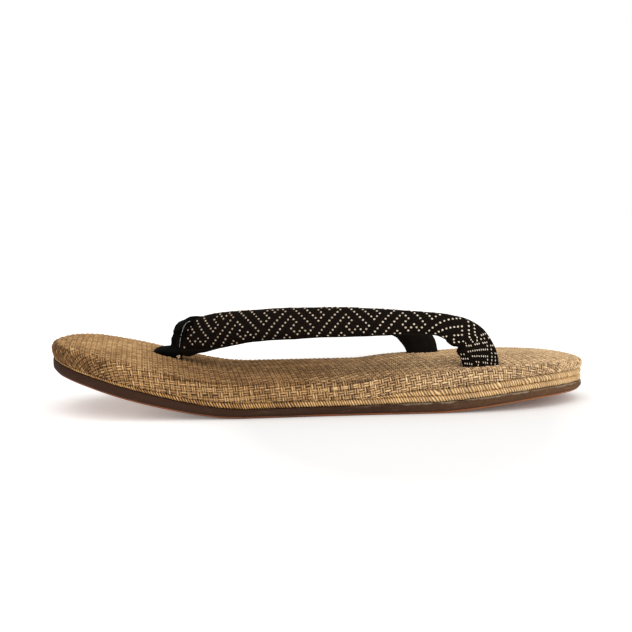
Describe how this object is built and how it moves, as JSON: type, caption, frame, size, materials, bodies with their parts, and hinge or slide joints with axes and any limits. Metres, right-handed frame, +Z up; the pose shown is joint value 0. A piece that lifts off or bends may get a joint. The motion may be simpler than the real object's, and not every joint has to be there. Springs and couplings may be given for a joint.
{
  "type": "zori sandal",
  "caption": "Flat-soled thong sandal for the left foot: cloth-wrapped padded footbed, straw rope edging, foam sole and two padded straps meeting at a front thong.",
  "frame": {"origin": "on the floor under the middle of the sandal's length and width", "axes": "+X from toe to heel, -Y to the outer side of a left foot, +Z up"},
  "size_m": [0.26, 0.094, 0.0492],
  "materials": {
    "outsole_rubber": "matt thin sheet, red-brown",
    "midsole_foam": "matt foam, dark brown, worn at the top edge",
    "straw_rope": "twisted straw, slightly shiny",
    "jute_cover": "coarse basket weave of jute",
    "strap_cloth": "black cloth with a cream dotted fret, over soft padding",
    "thong_cloth": "plain black cloth"
  },
  "bodies": {
    "root": {"outsole": "outsole_rubber", "midsole": "midsole_foam", "lower_rope": "straw_rope", "upper_rope": "straw_rope", "footbed": "jute_cover", "straps": "strap_cloth", "front_thong": "thong_cloth"}
  },
  "joints": []
}
